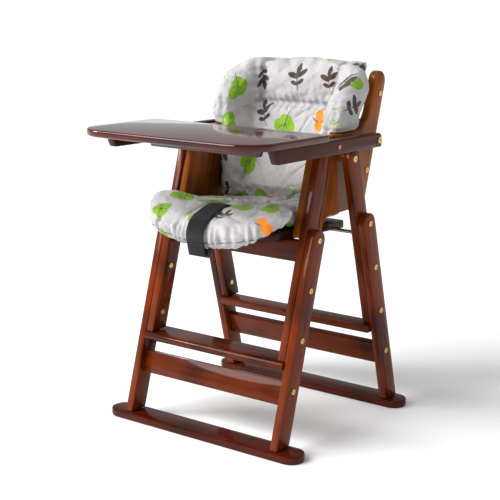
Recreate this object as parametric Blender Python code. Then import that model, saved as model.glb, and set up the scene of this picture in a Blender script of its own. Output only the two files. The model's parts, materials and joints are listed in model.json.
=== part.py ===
"""Folding wooden high chair for a baby: two leaning leg frames that fold on one pivot line,
a flip-up tray on two arms, side panels that carry the seat and the back, and a padded liner."""
import bpy
import bmesh
from math import sin, cos, tan, radians, pi, hypot
from mathutils import Matrix, Vector

# ---- shared stock and clearances (metres) ----
GAP = 0.0003              # between touching pieces
BOLT_GAP = 0.0004         # radial clearance of a bolt in its hole
STOCK = 0.0195            # thickness of legs, panels, arms and rails
LEG_W = 0.0477            # width of the leg stock
EASE = 0.0030             # rounding of the long wood edges
RAIL_W = 0.053            # width of the low stretchers

# ---- foot bars ----
BAR_T = 0.0181
BAR_D = 0.0615
BAR_HALF_FRONT = 0.2703
BAR_HALF_REAR = 0.2751
FOOT_SPAN = 0.4264        # between the bar centre lines
FRONT_FOOT_SHIFT = 0.0028
REAR_FOOT_SHIFT = -0.0021

# ---- leaning legs ----
FRONT_LEAN = radians(17.27)
REAR_LEAN = radians(13.98)
FRONT_BOLTS = (0.4574, 0.3471, 0.2373)   # along the leg, from the top of its foot bar
REAR_BOLTS = (0.4611, 0.3510, 0.2384)
FRONT_RAIL_BOLT = 0.1258
REAR_RAIL_BOLT = 0.1302
RAIL_DROP = 0.0085        # stretcher centre below its bolt
PIVOT_ALONG = 0.6168      # rear frame pivot, along the rear leg
PIVOT_DROP = LEG_W / 2 - 0.01855  # centre of the rear leg's round top, below the pivot; its top stays under the arm
FRONT_TOP_ALONG = 0.6380  # centre of the front leg's round top

# ---- layers, from the middle outwards (X) ----
PANEL_IN = 0.1588
PANEL_OUT = PANEL_IN + STOCK
FRONT_UP_IN = PANEL_OUT + GAP
FRONT_UP_OUT = FRONT_UP_IN + STOCK
FRONT_LOW_IN = FRONT_UP_OUT + GAP
FRONT_LOW_OUT = FRONT_LOW_IN + STOCK
REAR_UP_IN = 0.2005
REAR_UP_OUT = REAR_UP_IN + STOCK
REAR_LOW_IN = REAR_UP_OUT + GAP
REAR_LOW_OUT = REAR_LOW_IN + STOCK
ARM_IN = 0.2122
ARM_OUT = ARM_IN + STOCK

# ---- footrest, rear step, seat front rail ----
FOOTREST_Z = 0.184
FOOTREST_T = 0.0190
FOOTREST_FRONT = -0.1870
FOOTREST_REAR = -0.1165
STEP_Z = 0.1945
STEP_T = 0.0190
STEP_FRONT = 0.1300
STEP_REAR = 0.1800
APRON_H = 0.0475
APRON_TOP = 0.4535
APRON_SETBACK = 0.0020

# ---- side panel ----
PANEL_SETBACK = 0.0050    # behind the front edge of the front leg
PANEL_FOOT_Z = 0.4580
PANEL_ARCH_Z = 0.4890
PANEL_TOP_Z = 0.6685
PANEL_ARCH_Y = 0.0320
POST_BACK_Y = 0.2570      # rear edge of the post at POST_REF_Z
POST_REF_Z = 0.7614
POST_W = 0.0477
POST_TOP_Z = 0.7725       # centre of the post's round top
POST_FILLET = 0.0650

# ---- back rails ----
BACK_RAIL_W = 0.0486
BACK_RAIL_IN = 0.0158     # rail centre, in from the post's rear edge
BACK_RAILS = (("back_top_rail", 0.7440), ("back_middle_slat", 0.6600), ("back_lower_slat", 0.5713))

# ---- seat ----
ROD_R = 0.0043
ROD_ALONG = 0.4331        # along the rear leg
SEAT_T = 0.0180
SEAT_FRONT = -0.1780
SEAT_REAR = 0.1240
SEAT_CORNER = 0.0450

# ---- tray and arms ----
TRAY_TILT = radians(1.61)
TRAY_TOP_Z = 0.6864       # at Y = 0 before the tilt
TRAY_T = 0.0160
TRAY_HALF = 0.2460
TRAY_FRONT = -0.3480
TRAY_REAR = -0.0730
TRAY_FRONT_R = 0.0760
TRAY_REAR_R = 0.0150
ARM_H = 0.0325
ARM_FRONT = -0.2620
ARM_FRONT_SLANT = 0.0175
ARM_REAR = 0.1600
ARM_PIVOT_IN = 0.0115     # pivot in from the arm's rear end
ARM_REAR_R = 0.0130
ARM_SCREW_Y = -0.0200
BATTEN_HALF = 0.1560
BATTEN_Y = -0.1935
BATTEN_H = 0.0290

# ---- fasteners ----
SHANK_R = 0.0030
HEAD_R = 0.0066
HEAD_H = 0.0022
SOCKET_R = 0.0026
SOCKET_DEPTH = 0.0014
PIVOT_R = 0.0040
PIVOT_HEAD_R = 0.0078
COLLAR_R = 0.0090
ROUND_SEGS = 20

# ---- liner and strap ----
PAD_CLEAR = 0.0010
PAD_SIDE_GAP = 0.0035     # to the side panels and the pivot nuts
BACK_PAD_BOTTOM_Z = 0.5160
BACK_PAD_TOP_Z = 0.8220
STRAP_W = 0.0500
STRAP_T = 0.0022

FRONT_Y = -FOOT_SPAN / 2
REAR_Y = FOOT_SPAN / 2
LEG_BASE_Z = BAR_T


def front_point(along, off=0.0):
    """(y, z) on the front leg's centre line, off to its rear."""
    y0 = FRONT_Y + FRONT_FOOT_SHIFT
    return (y0 + along * sin(FRONT_LEAN) + off * cos(FRONT_LEAN),
            LEG_BASE_Z + along * cos(FRONT_LEAN) - off * sin(FRONT_LEAN))


def rear_point(along, off=0.0):
    """(y, z) on the rear leg's centre line, off to its rear."""
    y0 = REAR_Y + REAR_FOOT_SHIFT
    return (y0 - along * sin(REAR_LEAN) + off * cos(REAR_LEAN),
            LEG_BASE_Z + along * cos(REAR_LEAN) + off * sin(REAR_LEAN))


def tilt_tray(y, z):
    """Turns a level tray point about the tray top's line at Y = 0."""
    dz = z - TRAY_TOP_Z
    return (y * cos(TRAY_TILT) + dz * sin(TRAY_TILT),
            TRAY_TOP_Z - y * sin(TRAY_TILT) + dz * cos(TRAY_TILT))


FOLD_PIVOT = rear_point(PIVOT_ALONG)
ROD_POINT = rear_point(ROD_ALONG)
TRAY_BOTTOM_Z = TRAY_TOP_Z - TRAY_T
ARM_TOP_Z = TRAY_BOTTOM_Z - GAP
ARM_MID_Z = ARM_TOP_Z - ARM_H / 2
TRAY_PIVOT = tilt_tray(ARM_REAR - ARM_PIVOT_IN, ARM_MID_Z)

COLOURS = {
    "panel": (0.33, 0.10, 0.035), "leg": (0.27, 0.06, 0.022), "bar": (0.20, 0.035, 0.016),
    "rail": (0.24, 0.05, 0.02), "tray": (0.17, 0.030, 0.016), "brass": (0.62, 0.44, 0.18),
    "steel": (0.36, 0.36, 0.30), "fabric": (0.72, 0.70, 0.67), "webbing": (0.012, 0.012, 0.014),
    "buckle": (0.02, 0.02, 0.022),
}


def clear_scene():
    for obj in list(bpy.data.objects):
        bpy.data.objects.remove(obj, do_unlink=True)
    for mesh in list(bpy.data.meshes):
        bpy.data.meshes.remove(mesh)


def material(name, kind):
    mat = bpy.data.materials.new("mat_" + name)
    mat.use_nodes = True
    shader = mat.node_tree.nodes["Principled BSDF"]
    shader.inputs["Base Color"].default_value = COLOURS[kind] + (1.0,)
    shader.inputs["Metallic"].default_value = 1.0 if kind in ("brass", "steel") else 0.0
    shader.inputs["Roughness"].default_value = 0.9 if kind in ("fabric", "webbing") else 0.25
    return mat


def make(name, bm, kind, origin=(0, 0, 0), smooth=False):
    """Turns a bmesh in world coordinates into an object whose origin is at origin."""
    bmesh.ops.recalc_face_normals(bm, faces=bm.faces)
    bmesh.ops.translate(bm, verts=bm.verts, vec=-Vector(origin))
    for face in bm.faces:
        face.smooth = smooth
    mesh = bpy.data.meshes.new(name)
    bm.to_mesh(mesh)
    bm.free()
    obj = bpy.data.objects.new(name, mesh)
    obj.location = origin
    bpy.context.collection.objects.link(obj)
    mesh.materials.append(material(name, kind))
    return obj


def prism(points, axis, low, high, ease=EASE, segments=2):
    """Extrudes a closed outline along X, Y or Z and rounds its two outer rims and its corners."""
    bm = bmesh.new()
    ring = []
    for a, b in points:
        co = {"x": (low, a, b), "y": (a, low, b), "z": (a, b, low)}[axis]
        ring.append(bm.verts.new(co))
    face = bm.faces.new(ring)
    out = bmesh.ops.extrude_face_region(bm, geom=[face])
    step = Vector({"x": (1, 0, 0), "y": (0, 1, 0), "z": (0, 0, 1)}[axis]) * (high - low)
    bmesh.ops.translate(bm, verts=[v for v in out["geom"] if isinstance(v, bmesh.types.BMVert)], vec=step)
    bmesh.ops.recalc_face_normals(bm, faces=bm.faces)
    if ease > 0:
        sharp = [e for e in bm.edges if len(e.link_faces) == 2 and e.calc_face_angle() > radians(30)]
        bmesh.ops.bevel(bm, geom=sharp, offset=ease, segments=segments, profile=0.5,
                        affect="EDGES", clamp_overlap=True)
    return bm


def arc(centre, radius, start, end, count):
    """Points on an arc, angles in degrees from +first axis towards +second axis."""
    out = []
    for i in range(count + 1):
        a = radians(start + (end - start) * i / count)
        out.append((centre[0] + radius * cos(a), centre[1] + radius * sin(a)))
    return out


def round_corner(p, corner, q, radius, count=6):
    """Replaces the corner between p and q by an arc of the given radius."""
    a = (Vector(p) - Vector(corner)).normalized()
    b = (Vector(q) - Vector(corner)).normalized()
    half = a.angle(b) / 2
    start = Vector(corner) + a * (radius / tan(half))
    end = Vector(corner) + b * (radius / tan(half))
    centre = Vector(corner) + (a + b).normalized() * (radius / sin(half))
    u, v = start - centre, end - centre
    total = u.angle(v)
    out = []
    for i in range(count + 1):
        t = i / count
        w = (u * sin((1 - t) * total) + v * sin(t * total)) / sin(total)
        out.append(tuple(centre + w))
    return out


def rounded(points, radii, count=6):
    out = []
    n = len(points)
    for i, (p, r) in enumerate(zip(points, radii)):
        if r <= 0:
            out.append(p)
        else:
            out += round_corner(points[i - 1], p, points[(i + 1) % n], r, count)
    return out


def cylinder_x(y, z, radius, low, high, segments=ROUND_SEGS):
    bm = bmesh.new()
    rings = []
    for x in (low, high):
        rings.append([bm.verts.new((x, y + radius * cos(2 * pi * i / segments),
                                    z + radius * sin(2 * pi * i / segments))) for i in range(segments)])
    bm.faces.new(rings[0])
    bm.faces.new(rings[1])
    for i in range(segments):
        j = (i + 1) % segments
        bm.faces.new((rings[0][i], rings[0][j], rings[1][j], rings[1][i]))
    bmesh.ops.recalc_face_normals(bm, faces=bm.faces)
    return bm


def drill(obj, holes):
    """Cuts round holes along X: each is (y, z, radius, low x, high x) in world coordinates."""
    cutter_bm = bmesh.new()
    for y, z, radius, low, high in holes:
        piece = cylinder_x(y, z, radius, low, high)
        mesh = bpy.data.meshes.new("hole")
        piece.to_mesh(mesh)
        piece.free()
        cutter_bm.from_mesh(mesh)
        bpy.data.meshes.remove(mesh)
    mesh = bpy.data.meshes.new("cutter_" + obj.name)
    cutter_bm.to_mesh(mesh)
    cutter_bm.free()
    cutter = bpy.data.objects.new("cutter_" + obj.name, mesh)
    bpy.context.collection.objects.link(cutter)
    cutter.hide_render = True
    cutter.display_type = "WIRE"
    mod = obj.modifiers.new("holes", "BOOLEAN")
    mod.operation = "DIFFERENCE"
    mod.solver = "EXACT"
    mod.object = cutter
    bpy.context.view_layer.update()
    graph = bpy.context.evaluated_depsgraph_get()
    cut = bpy.data.meshes.new_from_object(obj.evaluated_get(graph))
    obj.modifiers.clear()
    obj.data = cut
    bpy.data.objects.remove(cutter, do_unlink=True)


def mirrored(points_x, side):
    low, high = points_x
    return (low, high) if side > 0 else (-high, -low)


SIDES = (("right", 1), ("left", -1))
ROOT = (0, 0, 0)
FOLD_ORIGIN = (0, FOLD_PIVOT[0], FOLD_PIVOT[1])
TRAY_ORIGIN = (0, TRAY_PIVOT[0], TRAY_PIVOT[1])


def leg_outline(point, base_z, top_along):
    """Side outline of a leg: level cut at base_z, round top centred top_along up the leg."""
    half = LEG_W / 2
    a, b = point(0, -half), point(0, half)
    up = (point(1)[0] - point(0)[0], point(1)[1] - point(0)[1])
    foot = []
    for p in (a, b):
        t = (base_z - p[1]) / up[1]
        foot.append((p[0] + up[0] * t, base_z))
    top = []
    for i in range(13):
        angle = pi * i / 12
        top.append(point(top_along + half * sin(angle), half * cos(angle)))
    return [foot[0], foot[1]] + top


def foot_bar(name, y, half, origin):
    r = BAR_D / 2
    pts = arc((half - r, y), r, -90, 90, 14) + arc((-half + r, y), r, 90, 270, 14)
    return make(name, prism(pts, "z", 0, BAR_T, ease=0.0035), "bar", origin)


def bolt_holes(point, distances, low, high, side):
    x0, x1 = mirrored((low - 0.002, high + 0.002), side)
    return [(*point(d), SHANK_R + BOLT_GAP, x0, x1) for d in distances]


def build_legs():
    rest_top = FOOTREST_Z + FOOTREST_T
    step_top = STEP_Z + STEP_T
    for label, side in SIDES:
        span = mirrored((FRONT_LOW_IN, FRONT_LOW_OUT), side)
        out = leg_outline(front_point, BAR_T + GAP, FRONT_BOLTS[0])
        leg = make("front_lower_leg_" + label, prism(out, "x", *span), "leg")
        drill(leg, bolt_holes(front_point, FRONT_BOLTS + (FRONT_RAIL_BOLT,), FRONT_LOW_IN, FRONT_LOW_OUT, side))

        span = mirrored((FRONT_UP_IN, FRONT_UP_OUT), side)
        out = leg_outline(front_point, rest_top + GAP, FRONT_TOP_ALONG)
        leg = make("front_upper_leg_" + label, prism(out, "x", *span), "leg")
        drill(leg, bolt_holes(front_point, FRONT_BOLTS, FRONT_UP_IN, FRONT_UP_OUT, side))

        span = mirrored((REAR_LOW_IN, REAR_LOW_OUT), side)
        out = leg_outline(rear_point, BAR_T + GAP, REAR_BOLTS[0])
        leg = make("rear_lower_leg_" + label, prism(out, "x", *span), "leg", FOLD_ORIGIN)
        drill(leg, bolt_holes(rear_point, REAR_BOLTS + (REAR_RAIL_BOLT,), REAR_LOW_IN, REAR_LOW_OUT, side))

        span = mirrored((REAR_UP_IN, REAR_UP_OUT), side)
        out = leg_outline(rear_point, step_top + GAP, PIVOT_ALONG - PIVOT_DROP)
        leg = make("rear_upper_leg_" + label, prism(out, "x", *span), "leg", FOLD_ORIGIN)
        holes = bolt_holes(rear_point, REAR_BOLTS, REAR_UP_IN, REAR_UP_OUT, side)
        x0, x1 = mirrored((REAR_UP_IN - 0.002, REAR_UP_OUT + 0.002), side)
        holes.append((*FOLD_PIVOT, PIVOT_R + BOLT_GAP, x0, x1))
        x0, x1 = mirrored((REAR_UP_IN - 0.002, REAR_UP_IN + 0.006), side)
        holes.append((*ROD_POINT, ROD_R + GAP, x0, x1))
        drill(leg, holes)


def leaning_board(name, point, along, off, width, thick, half, kind, origin, ease=EASE):
    """A board across the chair, its width running up the leaning leg."""
    c = [point(along - width / 2, off - thick / 2), point(along - width / 2, off + thick / 2),
         point(along + width / 2, off + thick / 2), point(along + width / 2, off - thick / 2)]
    return make(name, prism(c, "x", -half, half, ease=ease), kind, origin)


def build_cross_boards():
    half = FRONT_LOW_IN - GAP
    obj = leaning_board("front_stretcher", front_point, FRONT_RAIL_BOLT - RAIL_DROP, 0, RAIL_W, STOCK, half,
                        "rail", ROOT)
    inner = half - 0.030
    y, z = front_point(FRONT_RAIL_BOLT)
    drill(obj, [(y, z, SHANK_R + BOLT_GAP, inner, half + 0.002), (y, z, SHANK_R + BOLT_GAP, -half - 0.002, -inner)])

    half = REAR_LOW_IN - GAP
    obj = leaning_board("rear_stretcher", rear_point, REAR_RAIL_BOLT - RAIL_DROP, 0, RAIL_W, STOCK, half,
                        "rail", FOLD_ORIGIN)
    inner = half - 0.030
    y, z = rear_point(REAR_RAIL_BOLT)
    drill(obj, [(y, z, SHANK_R + BOLT_GAP, inner, half + 0.002), (y, z, SHANK_R + BOLT_GAP, -half - 0.002, -inner)])

    pts = [(FOOTREST_FRONT, FOOTREST_Z), (FOOTREST_REAR, FOOTREST_Z),
           (FOOTREST_REAR, FOOTREST_Z + FOOTREST_T), (FOOTREST_FRONT, FOOTREST_Z + FOOTREST_T)]
    pts = rounded(pts, (0.0085, 0, 0, 0.0085), 4)
    make("footrest_board", prism(pts, "x", -(FRONT_LOW_IN - GAP), FRONT_LOW_IN - GAP, ease=0.002), "rail")

    pts = [(STEP_FRONT, STEP_Z), (STEP_REAR, STEP_Z), (STEP_REAR, STEP_Z + STEP_T), (STEP_FRONT, STEP_Z + STEP_T)]
    make("rear_step_board", prism(pts, "x", -(REAR_LOW_IN - GAP), REAR_LOW_IN - GAP), "rail", FOLD_ORIGIN)

    front_edge = front_edge_y(APRON_TOP) + APRON_SETBACK
    pts = [(front_edge, APRON_TOP - APRON_H), (front_edge + STOCK, APRON_TOP - APRON_H),
           (front_edge + STOCK, APRON_TOP), (front_edge, APRON_TOP)]
    make("seat_front_rail", prism(pts, "x", -(FRONT_UP_IN - GAP), FRONT_UP_IN - GAP, ease=0.002), "rail")


def front_edge_y(z):
    """Front edge of the front leg at height z."""
    y, z0 = front_point(0, -LEG_W / 2)
    return y + (z - z0) * tan(FRONT_LEAN)


def post_back_y(z):
    """Rear edge of the back post at height z."""
    return POST_BACK_Y + (z - POST_REF_Z) * tan(FRONT_LEAN)


def rail_centre(z):
    return post_back_y(z) - BACK_RAIL_IN / cos(FRONT_LEAN)


def panel_outline():
    post_run = POST_W / cos(FRONT_LEAN)
    front = [(front_edge_y(PANEL_FOOT_Z) + PANEL_SETBACK, PANEL_FOOT_Z),
             (front_edge_y(PANEL_TOP_Z) + PANEL_SETBACK, PANEL_TOP_Z)]
    elbow = (post_back_y(PANEL_TOP_Z) - post_run, PANEL_TOP_Z)
    above = (post_back_y(POST_TOP_Z) - post_run, POST_TOP_Z)
    pts = [front[0]]
    pts += round_corner(front[0], front[1], elbow, 0.020, 6)
    pts += round_corner(front[1], elbow, above, POST_FILLET, 9)
    centre = (post_back_y(POST_TOP_Z) - post_run / 2, POST_TOP_Z)
    lean = 90 - FRONT_LEAN * 180 / pi
    pts += arc(centre, POST_W / 2, lean + 90, lean - 90, 12)
    rear_low = (post_back_y(PANEL_ARCH_Z), PANEL_ARCH_Z)
    pts += round_corner(pts[-1], rear_low, (PANEL_ARCH_Y, PANEL_ARCH_Z), 0.030, 6)
    drop = PANEL_ARCH_Z - PANEL_FOOT_Z
    run = 0.036
    for i in range(1, 8):
        a = pi / 2 * i / 7
        pts.append((PANEL_ARCH_Y - run * sin(a), PANEL_ARCH_Z - drop * (1 - cos(a))))
    return pts


def build_panels():
    for label, side in SIDES:
        span = mirrored((PANEL_IN, PANEL_OUT), side)
        panel = make("side_panel_" + label, prism(panel_outline(), "x", *span), "panel")
        x0, x1 = mirrored((PANEL_IN - 0.002, PANEL_OUT + 0.002), side)
        holes = [(*FOLD_PIVOT, PIVOT_R + BOLT_GAP, x0, x1), (*TRAY_PIVOT, PIVOT_R + BOLT_GAP, x0, x1)]
        for name, z in BACK_RAILS[0::2]:
            holes.append((rail_centre(z), z, SHANK_R + BOLT_GAP, x0, x1))
        drill(panel, holes)


def build_back_rails():
    half = PANEL_IN - GAP
    for name, z in BACK_RAILS:
        y = rail_centre(z)
        up = Vector((sin(FRONT_LEAN), cos(FRONT_LEAN))) * BACK_RAIL_W / 2
        out = Vector((cos(FRONT_LEAN), -sin(FRONT_LEAN))) * STOCK / 2
        c = Vector((y, z))
        pts = [tuple(c - up - out), tuple(c - up + out), tuple(c + up + out), tuple(c + up - out)]
        rail = make(name, prism(pts, "x", -half, half), "rail")
        if name != "back_middle_slat":
            inner = half - 0.030
            drill(rail, [(y, z, SHANK_R + BOLT_GAP, inner, half + 0.002),
                         (y, z, SHANK_R + BOLT_GAP, -half - 0.002, -inner)])


def seat_bottom(y):
    """Underside of the seat board: on the front rail, and on the rod at the rear."""
    y1 = front_edge_y(APRON_TOP) + APRON_SETBACK + STOCK
    z1 = APRON_TOP + GAP
    z2 = ROD_POINT[1] + ROD_R + GAP
    slope = (z1 - z2) / (y1 - ROD_POINT[0])
    return z1 + slope * (y - y1), slope


def seat_top(y):
    z, slope = seat_bottom(y)
    return z + SEAT_T * hypot(1, slope)


def build_seat():
    half = PANEL_IN - GAP
    pts = rounded([(-half, SEAT_FRONT), (half, SEAT_FRONT), (half, SEAT_REAR), (-half, SEAT_REAR)],
                  (SEAT_CORNER, SEAT_CORNER, 0.012, 0.012), 6)
    bm = prism(pts, "z", 0, SEAT_T, ease=0.0025)
    z0, slope = seat_bottom(0)
    for v in bm.verts:
        v.co.z = z0 + slope * v.co.y + v.co.z * hypot(1, slope)
    make("seat_board", bm, "rail")
    half = REAR_UP_IN + 0.005
    make("seat_support_rod", cylinder_x(*ROD_POINT, ROD_R, -half, half), "steel", FOLD_ORIGIN)


def tilted(bm):
    for v in bm.verts:
        v.co.y, v.co.z = tilt_tray(v.co.y, v.co.z)
    return bm


def build_tray():
    pts = rounded([(-TRAY_HALF, TRAY_FRONT), (TRAY_HALF, TRAY_FRONT), (TRAY_HALF, TRAY_REAR), (-TRAY_HALF, TRAY_REAR)],
                  (TRAY_FRONT_R, TRAY_FRONT_R, TRAY_REAR_R, TRAY_REAR_R), 9)
    make("tray_board", tilted(prism(pts, "z", TRAY_BOTTOM_Z, TRAY_TOP_Z, ease=0.0045, segments=3)), "tray", TRAY_ORIGIN)
    low, high = ARM_TOP_Z - BATTEN_H, ARM_TOP_Z
    pts = [(-BATTEN_HALF + 0.010, low), (BATTEN_HALF - 0.010, low), (BATTEN_HALF, high), (-BATTEN_HALF, high)]
    make("tray_batten", tilted(prism(pts, "y", BATTEN_Y - STOCK / 2, BATTEN_Y + STOCK / 2, ease=0.002)), "tray",
         TRAY_ORIGIN)
    base = ARM_TOP_Z - ARM_H
    pts = rounded([(ARM_FRONT + ARM_FRONT_SLANT, base), (ARM_REAR, base), (ARM_REAR, ARM_TOP_Z),
                   (ARM_FRONT, ARM_TOP_Z)], (0, 0, ARM_REAR_R, 0), 6)
    for label, side in SIDES:
        span = mirrored((ARM_IN, ARM_OUT), side)
        arm = make("tray_arm_" + label, tilted(prism(pts, "x", *span, ease=0.0025)), "leg", TRAY_ORIGIN)
        x0, x1 = mirrored((ARM_IN - 0.002, ARM_OUT + 0.002), side)
        y, z = tilt_tray(ARM_SCREW_Y, ARM_MID_Z)
        drill(arm, [(*TRAY_PIVOT, PIVOT_R + BOLT_GAP, x0, x1), (y, z, SHANK_R + BOLT_GAP, x0, x1)])


def turned(name, y, z, side, profile, kind, origin, socket=True):
    """A turned fastener along X. profile lists (x, radius) from the outer face inwards."""
    bm = bmesh.new()
    n = ROUND_SEGS
    rings = []

    def ring(x, r):
        return [bm.verts.new((x * side, y + r * cos(2 * pi * i / n), z + r * sin(2 * pi * i / n)))
                for i in range(n)]

    x_face = profile[0][0]
    if socket:
        centre = [ring(x_face - SOCKET_DEPTH, SOCKET_R), ring(x_face, SOCKET_R)]
        rings += centre
    for x, r in profile:
        rings.append(ring(x, r))
    bm.faces.new(rings[0])
    bm.faces.new(rings[-1])
    for a, b in zip(rings, rings[1:]):
        for i in range(n):
            j = (i + 1) % n
            bm.faces.new((a[i], a[j], b[j], b[i]))
    return make(name, bm, kind, origin, smooth=False)


def leg_bolt(name, point, along, side, outer, inner, origin):
    """A flat-headed bolt through two legs, with its cap nut on the inner face."""
    y, z = point(along)
    soft = 0.0007
    head_in, nut_out = outer + GAP, inner - GAP
    prof = [(head_in + HEAD_H, HEAD_R - soft), (head_in + HEAD_H - soft, HEAD_R), (head_in, HEAD_R),
            (head_in, SHANK_R), (nut_out, SHANK_R), (nut_out, HEAD_R), (nut_out - HEAD_H + soft, HEAD_R),
            (nut_out - HEAD_H, HEAD_R - soft)]
    turned(name, y, z, side, prof, "brass", origin)


def plain_screw(name, y, z, side, outer, depth, origin, head_r=HEAD_R):
    soft = 0.0007
    head_in = outer + GAP
    prof = [(head_in + HEAD_H, head_r - soft), (head_in + HEAD_H - soft, head_r), (head_in, head_r),
            (head_in, SHANK_R), (outer - depth, SHANK_R)]
    turned(name, y, z, side, prof, "brass", origin)


def pivot_bolt(name, y, z, side, outer, leg_in):
    """A shouldered pivot bolt: head, bearing length, collar up to the panel, and the end nut."""
    soft = 0.0008
    head_in = outer + GAP
    prof = [(head_in + HEAD_H, PIVOT_HEAD_R - soft), (head_in + HEAD_H - soft, PIVOT_HEAD_R),
            (head_in, PIVOT_HEAD_R), (head_in, PIVOT_R), (leg_in - GAP, PIVOT_R), (leg_in - GAP, COLLAR_R),
            (PANEL_OUT + GAP, COLLAR_R), (PANEL_OUT + GAP, PIVOT_R), (PANEL_IN - GAP, PIVOT_R),
            (PANEL_IN - GAP, PIVOT_HEAD_R), (PANEL_IN - GAP - HEAD_H, PIVOT_HEAD_R - soft)]
    turned(name, y, z, side, prof, "brass", ROOT)


def build_fasteners():
    for label, side in SIDES:
        # the top bolt ends inside the upper leg, which the side panel covers
        y, z = front_point(FRONT_BOLTS[0])
        plain_screw("front_leg_bolt_%s_1" % label, y, z, side, FRONT_LOW_OUT,
                    FRONT_LOW_OUT - FRONT_UP_IN - 0.0015, ROOT)
        for i, along in list(enumerate(FRONT_BOLTS))[1:]:
            leg_bolt("front_leg_bolt_%s_%d" % (label, i + 1), front_point, along, side,
                     FRONT_LOW_OUT, FRONT_UP_IN, ROOT)
        for i, along in enumerate(REAR_BOLTS):
            leg_bolt("rear_leg_bolt_%s_%d" % (label, i + 1), rear_point, along, side,
                     REAR_LOW_OUT, REAR_UP_IN, FOLD_ORIGIN)
        y, z = front_point(FRONT_RAIL_BOLT)
        plain_screw("front_stretcher_bolt_" + label, y, z, side, FRONT_LOW_OUT, STOCK + 0.022, ROOT)
        y, z = rear_point(REAR_RAIL_BOLT)
        plain_screw("rear_stretcher_bolt_" + label, y, z, side, REAR_LOW_OUT, STOCK + 0.022, FOLD_ORIGIN)
        pivot_bolt("fold_pivot_bolt_" + label, *FOLD_PIVOT, side, REAR_UP_OUT, REAR_UP_IN)
        pivot_bolt("tray_pivot_bolt_" + label, *TRAY_PIVOT, side, ARM_OUT, ARM_IN)
        y, z = tilt_tray(ARM_SCREW_Y, ARM_MID_Z)
        plain_screw("arm_screw_" + label, y, z, side, ARM_OUT, STOCK - 0.0015, TRAY_ORIGIN, head_r=0.0045)
        for name, z in BACK_RAILS[0::2]:
            plain_screw("%s_screw_%s" % (name, label), rail_centre(z), z, side, PANEL_OUT, STOCK + 0.022, ROOT)


def loft(rings):
    """Closed solid through rings that all have the same number of points."""
    bm = bmesh.new()
    made = [[bm.verts.new(co) for co in ring] for ring in rings]
    bm.faces.new(made[0])
    bm.faces.new(made[-1])
    n = len(made[0])
    for a, b in zip(made, made[1:]):
        for i in range(n):
            j = (i + 1) % n
            bm.faces.new((a[i], a[j], b[j], b[i]))
    return bm


def build_seat_cushion():
    """Plain pad on the seat board; its front rolls over the board and spreads before the legs."""
    rings = []
    inside = PANEL_IN - PAD_SIDE_GAP
    board_front = SEAT_FRONT - 0.0035
    stations = (
        (-0.2270, 0.100, 0.452, 0.475), (-0.2200, 0.128, 0.445, 0.486), (-0.2050, 0.150, 0.447, 0.495),
        (board_front, 0.168, 0.456, 0.503), (board_front + 0.003, 0.168, None, 0.503),
        (-0.1500, 0.183, None, 0.509), (-0.1180, 0.184, None, 0.512),
        (-0.1080, inside, None, 0.511), (0.0000, inside, None, 0.500), (0.1180, inside, None, 0.492),
        (0.1240, inside - 0.006, None, 0.487))
    for y, w, low, high in stations:
        if low is None:
            low = seat_top(y) + PAD_CLEAR
        r = min(0.016, (high - low) * 0.35)
        ring = []
        for cx, cz, a0 in ((w - r, low + r, -90), (w - r, high - r, 0), (-w + r, high - r, 90), (-w + r, low + r, 180)):
            for x, z in arc((cx, cz), r, a0, a0 + 90, 3):
                ring.append((x, y, z))
        rings.append(ring)
    make("seat_cushion", loft(rings), "fabric")


def build_back_cushion():
    """Pad on the back slats with two side wings; above the armrests the wings spread before the posts."""
    rings = []
    inside = PANEL_IN - PAD_SIDE_GAP
    stations = (  # height, half width, wing's rear, centre front, wing front, wing thickness
        (BACK_PAD_BOTTOM_Z, inside - 0.005, None, 0.108, 0.050, 0.028),
        (BACK_PAD_BOTTOM_Z + 0.012, inside, None, 0.108, 0.036, 0.030),
        (0.600, inside, None, 0.128, 0.036, 0.030), (0.690, inside, None, 0.152, 0.050, 0.030),
        (0.700, inside + 0.001, 0.145, 0.156, 0.054, 0.032), (0.708, 0.172, 0.148, 0.158, 0.056, 0.034),
        (0.740, 0.178, 0.170, 0.160, 0.072, 0.036), (0.770, 0.178, 0.182, 0.160, 0.102, 0.036),
        (0.795, 0.170, 0.186, 0.162, 0.136, 0.034), (0.812, 0.156, 0.190, 0.168, 0.150, 0.032),
        (BACK_PAD_TOP_Z, 0.135, 0.194, 0.178, 0.160, 0.030))
    for z, w, wing_rear, centre, front, wing in stations:
        slat_front = post_back_y(z) - (BACK_RAIL_IN + STOCK / 2) / cos(FRONT_LEAN) - PAD_CLEAR
        rear = min(slat_front, 0.2260 - max(0, z - 0.780) * 0.5)
        if wing_rear is None:
            wing_rear = rear - 0.020
        core = min(w, inside) - 0.0005
        half = [(core, rear), (core, wing_rear), (w, wing_rear), (w, front + wing / 2), (w - wing * 0.3, front),
                (w - wing * 0.8, front), (w - wing, front + wing / 3), (w - wing - 0.004, centre)]
        ring = half + [(-x, y) for x, y in reversed(half)]
        rings.append([(x, y, z) for x, y in ring])
    make("back_cushion", loft(rings), "fabric")


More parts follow.
